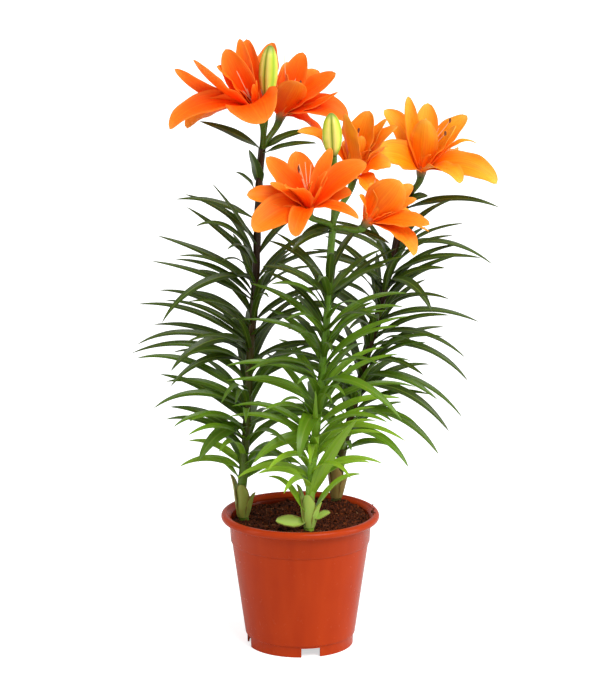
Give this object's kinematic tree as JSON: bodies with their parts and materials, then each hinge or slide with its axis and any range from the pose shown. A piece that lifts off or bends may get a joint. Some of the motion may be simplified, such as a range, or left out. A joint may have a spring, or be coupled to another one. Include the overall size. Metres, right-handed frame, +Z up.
{
  "type": "potted lily",
  "caption": "Potted lily with leafy upright stems, double orange blossoms and closed buds, growing in soil in a round tapered plastic nursery pot.",
  "frame": {"origin": "on the surface the pot stands on, under the middle of the plant's spread; the pot's axis stands 15.5 mm from it towards -X", "axes": "+Z up; the side with the most blossoms faces -Y, with +X to its right"},
  "size_m": [0.391, 0.2765, 0.658],
  "materials": {
    "pot_plastic": "satin moulded polypropylene, terracotta orange",
    "soil": "moist peat and coir fibre, at the density of wood because damp potting mix weighs about as much",
    "bulb": "cream fleshy scales",
    "foliage": "waxy green leaf and stem, at leather's density because living tissue weighs about as much",
    "petal_orange": "velvety orange petal",
    "petal_amber": "velvety amber orange petal",
    "bud": "waxy yellow-green closed petals"
  },
  "bodies": {
    "root": {"pot": "pot_plastic", "soil": "soil", "bulb_left": "bulb", "leafy_stem_left": "foliage", "bulb_middle": "bulb", "leafy_stem_middle": "foliage", "bulb_right": "bulb", "leafy_stem_right": "foliage", "bloom_left_outer": "petal_orange", "bloom_left_inner": "petal_orange", "bloom_middle_front": "petal_orange", "bloom_middle_back": "petal_amber", "bloom_right": "petal_amber", "bloom_middle_side": "petal_orange", "bud_left": "bud", "bud_middle": "bud"}
  },
  "joints": []
}
